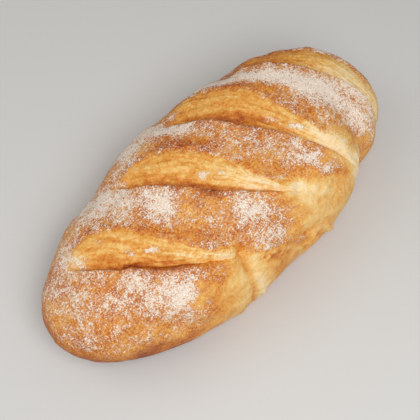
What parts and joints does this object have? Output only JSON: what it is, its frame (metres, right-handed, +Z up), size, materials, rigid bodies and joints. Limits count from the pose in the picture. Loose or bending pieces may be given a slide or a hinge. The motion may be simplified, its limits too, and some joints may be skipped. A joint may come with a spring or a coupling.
{
  "type": "bloomer loaf",
  "caption": "Oval hearth-baked bread loaf with a domed, flour-dusted crust, slanting cuts across its crown and a flat base.",
  "frame": {"origin": "middle of the flat base, on the surface that the loaf rests on", "axes": "+X along the loaf's length, +Y across it, +Z up from the base to the crown; the cuts run from the +Y side at their -X end to the -Y side at their +X end"},
  "size_m": [0.278, 0.1332, 0.0804],
  "materials": {
    "crust": "matt baked crust, dusted with flour"
  },
  "bodies": {
    "root": {"loaf": "crust"}
  },
  "joints": []
}
